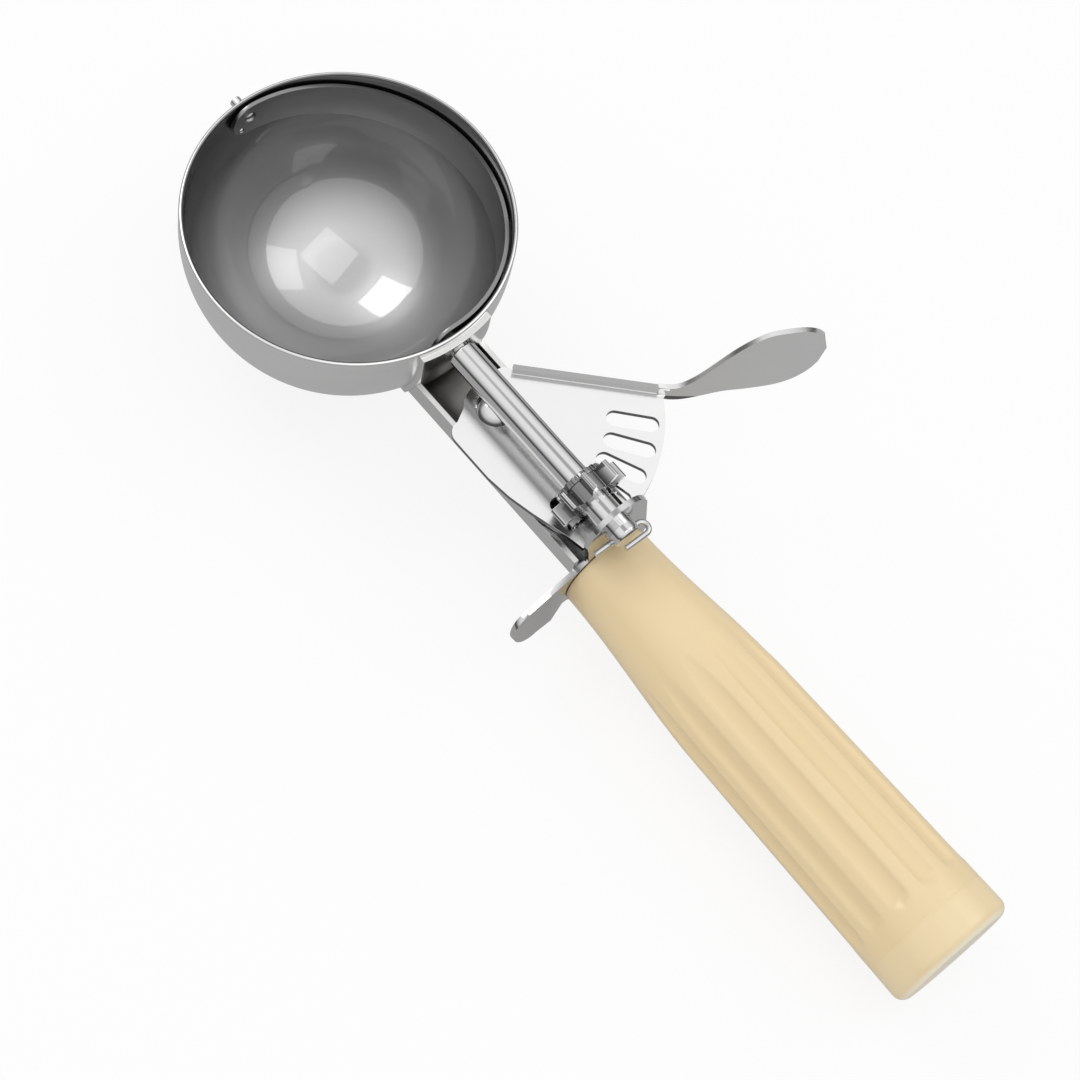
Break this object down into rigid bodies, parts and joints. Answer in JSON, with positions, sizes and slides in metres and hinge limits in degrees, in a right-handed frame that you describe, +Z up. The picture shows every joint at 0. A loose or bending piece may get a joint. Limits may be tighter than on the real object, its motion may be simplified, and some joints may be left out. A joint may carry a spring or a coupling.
{
  "type": "lever ice cream scoop",
  "caption": "Ice cream scoop with a steel bowl, a thumb lever that sweeps a scraper strip, and a fluted handle.",
  "frame": {"origin": "centre of the handle's flat end face", "axes": "+X from the bowl along the handle to its end face, +Z up, out of the bowl's mouth, +Y to the thumb lever's side at rest"},
  "size_m": [0.2234, 0.0944, 0.0442],
  "materials": {
    "polished_steel": "polished",
    "satin_steel": "satin",
    "hard_steel": "satin",
    "bright_plate": "mirror",
    "ivory_resin": "gloss"
  },
  "bodies": {
    "frame": {"bowl": "polished_steel", "bowl_saddle": "satin_steel", "shank_channel": "satin_steel", "guard_plate": "polished_steel", "tang": "hard_steel", "tang_rivets": "hard_steel", "handle_grip": "ivory_resin", "handle_plug": "ivory_resin", "pivot_rivet": "polished_steel", "pivot_spacer": "hard_steel", "pivot_washer": "hard_steel", "return_spring": "hard_steel"},
    "lever": {"thumb_lever": "satin_steel"},
    "scraper": {"drive_shaft": "bright_plate", "drive_pinion": "bright_plate", "retaining_clip": "hard_steel", "scraper_strip": "polished_steel", "front_pivot_pin": "polished_steel", "strip_rivet": "polished_steel"}
  },
  "joints": [
    {"name": "lever_pivot", "type": "hinge", "parent": "frame", "child": "lever", "pos_m": [-0.1393, 0, 0.0112], "axis": [0, 0, 1], "range_deg": [-41.5, 0], "stiffness_Nm_per_rad": 0.05, "springref_deg": 17.19, "deforming": ["return_spring"]},
    {"name": "scraper_spin", "type": "hinge", "parent": "frame", "child": "scraper", "pos_m": [-0.1866, 0, 0.018], "axis": [1, 0, 0], "range_deg": [-166, 0]}
  ],
  "couplings": [
    {"joint": "scraper_spin", "follows": "lever_pivot", "ratio": 4}
  ]
}
